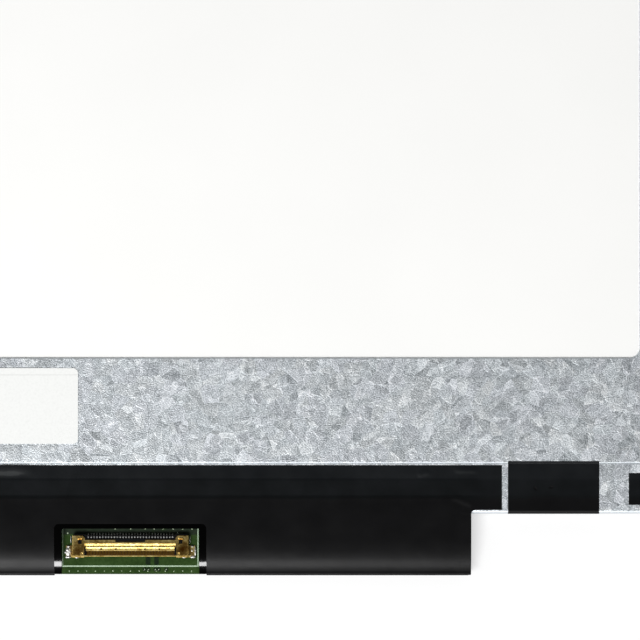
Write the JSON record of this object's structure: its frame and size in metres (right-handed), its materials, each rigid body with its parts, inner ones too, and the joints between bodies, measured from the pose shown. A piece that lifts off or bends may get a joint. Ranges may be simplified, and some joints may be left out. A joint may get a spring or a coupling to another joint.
{
  "type": "laptop screen panel",
  "caption": "Slim laptop display panel lying face down: glass cell and backlight in a windowed galvanised steel frame, with a taped control board and video connector along the lower edge.",
  "frame": {"origin": "centre of the picture, on the outer face of the front polarizer, which the panel lies on", "axes": "+X along the long side, to the right seen from the back; +Y to the top edge of the picture; +Z out of the back"},
  "size_m": [0.3594, 0.224, 0.0031],
  "materials": {
    "polarizer": "matt anti-glare coating on dark film",
    "glass": "polished sheet glass",
    "black_adhesive": "black adhesive film",
    "black_moulding": "fine moulded black",
    "optical_sheet": "milky film",
    "light_guide": "clear moulded sheet",
    "white_reflector": "smooth bright white sheet",
    "flex_film": "amber flex film",
    "lamp_body": "white moulding",
    "galvanised_steel": "spangled zinc coat",
    "chip_body": "moulded black",
    "board_green": "green solder mask",
    "ferrite": "grey ferrite",
    "capacitor_body": "tan ceramic",
    "gold_plate": "thin gold over nickel",
    "solder": "bright soft solder",
    "connector_black": "moulded black",
    "gloss_film": "glossy black film",
    "black_tape": "satin black tape",
    "label_paper": "satin white paper, blank"
  },
  "bodies": {
    "root": {"front_polarizer": "polarizer", "filter_glass": "glass", "array_glass": "glass", "rear_polarizer": "polarizer", "rim_tape": "black_adhesive", "middle_frame": "black_moulding", "upper_diffuser": "optical_sheet", "upper_prism_sheet": "optical_sheet", "lower_prism_sheet": "optical_sheet", "lower_diffuser": "optical_sheet", "light_guide": "light_guide", "reflector_sheet": "white_reflector", "led_flex": "flex_film", "led_chips": "lamp_body", "rear_frame": "galvanised_steel", "driver_films": "flex_film", "driver_chips": "chip_body", "control_board": "board_green", "timing_controller": "chip_body", "power_chip": "chip_body", "lamp_driver_chip": "chip_body", "memory_chip": "chip_body", "power_inductors": "ferrite", "board_capacitors": "capacitor_body", "board_resistors": "chip_body", "connector_shell": "gold_plate", "connector_housing": "connector_black", "connector_contacts": "gold_plate", "solder_joints": "solder", "bond_strip": "black_adhesive", "window_liner": "gloss_film", "board_cover_tape": "black_tape", "lamp_end_tape": "black_tape", "corner_tape": "black_tape", "driver_cover_tape": "black_tape", "product_label": "label_paper"}
  },
  "joints": []
}
